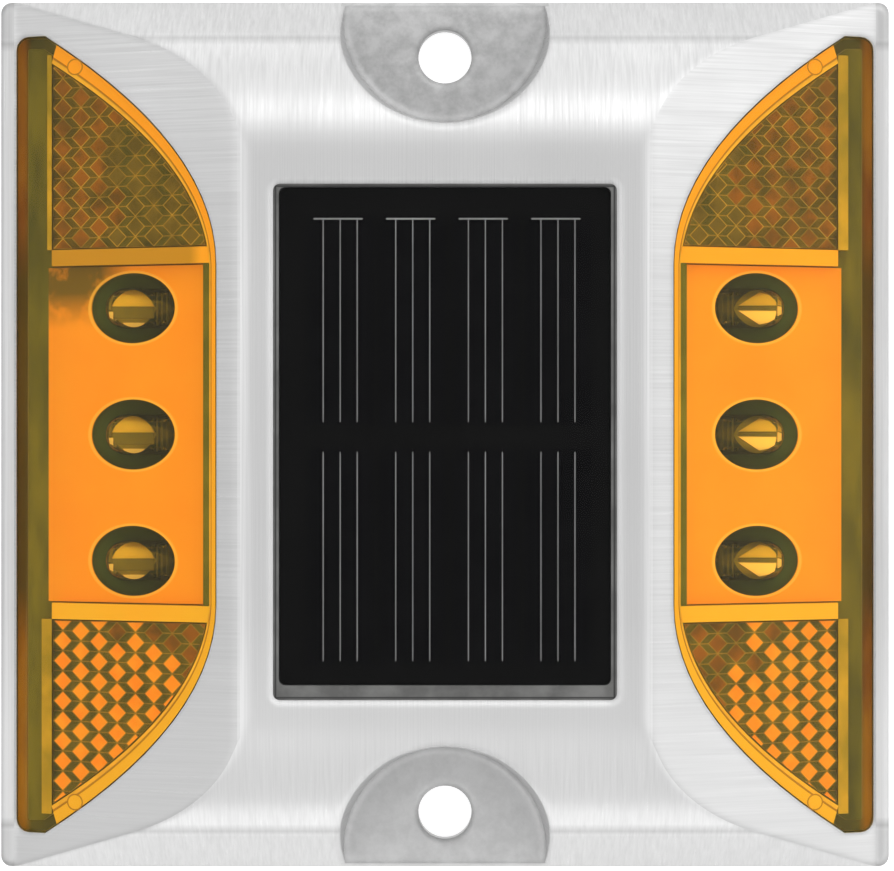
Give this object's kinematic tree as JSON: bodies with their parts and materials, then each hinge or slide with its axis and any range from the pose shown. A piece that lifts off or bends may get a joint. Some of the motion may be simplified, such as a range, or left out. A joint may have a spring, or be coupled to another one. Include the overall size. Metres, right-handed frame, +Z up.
{
  "type": "solar road stud",
  "caption": "Cast aluminium raised pavement marker with a solar panel on top and amber lit reflector lenses on two sloping sides; two counterbored lugs take the anchor screws.",
  "frame": {"origin": "middle of the flat underside, on the road surface", "axes": "+Z up from the road, +X across the two lenses, +Y through the two anchor lugs"},
  "size_m": [0.11, 0.107, 0.023],
  "materials": {
    "cast_aluminium": "brushed after casting, satin",
    "black_plastic": "matte moulded",
    "black_rubber": "matte",
    "bright_steel": "bright, fine turned",
    "board_green": "solder mask",
    "silicon": "dark, satin",
    "silver_line": "satin",
    "panel_face": "glossy clear resin over black",
    "brown_sealant": "cured sealant, satin",
    "grey_sealant": "satin bead",
    "red_wire": "satin insulation",
    "amber_lens": "clear, glossy",
    "amber_prism": "clear, faceted",
    "orange_tray": "satin",
    "led_resin": "clear, glossy",
    "potting": "dark cured resin",
    "ferrite": "matte",
    "capacitor_sleeve": "shrink sleeve",
    "resistor_body": "matte, tinned ends",
    "battery_sleeve": "shrink sleeve",
    "white_plastic": "matte moulded"
  },
  "bodies": {
    "marker": {"housing": "cast_aluminium", "base_cover": "black_plastic", "base_gasket": "black_rubber", "base_screws": "bright_steel", "panel_substrate": "board_green", "solar_cells": "silicon", "cell_fingers": "silver_line", "panel_resin": "panel_face", "panel_sealant": "grey_sealant", "panel_wires": "red_wire", "lens_left": "amber_lens", "lens_right": "amber_lens", "reflex_insert_left": "amber_prism", "reflex_insert_right": "amber_prism", "led_tray_left": "orange_tray", "led_tray_right": "orange_tray", "leds_left": "led_resin", "leds_right": "led_resin", "led_board_left": "board_green", "led_board_right": "board_green", "lens_seal_left": "brown_sealant", "lens_seal_right": "brown_sealant", "lens_potting_left": "potting", "lens_potting_right": "potting", "wire_grommet_left": "black_rubber", "wire_grommet_right": "black_rubber", "led_wires_left": "red_wire", "led_wires_right": "red_wire", "control_board": "board_green", "board_screws": "bright_steel", "control_chip": "black_plastic", "inductor": "ferrite", "capacitor": "capacitor_sleeve", "resistors": "resistor_body", "battery": "battery_sleeve", "battery_terminal": "bright_steel", "battery_cradle": "white_plastic", "battery_wires": "red_wire", "switch_body": "black_plastic"},
    "button": {"switch_stem": "white_plastic", "switch_button": "black_rubber"}
  },
  "joints": [
    {"name": "switch_press", "type": "slide", "parent": "marker", "child": "button", "axis": [0, 0, 1], "range_m": [0, 0.0012], "stiffness_N_per_m": 400, "springref_m": -0.001}
  ]
}
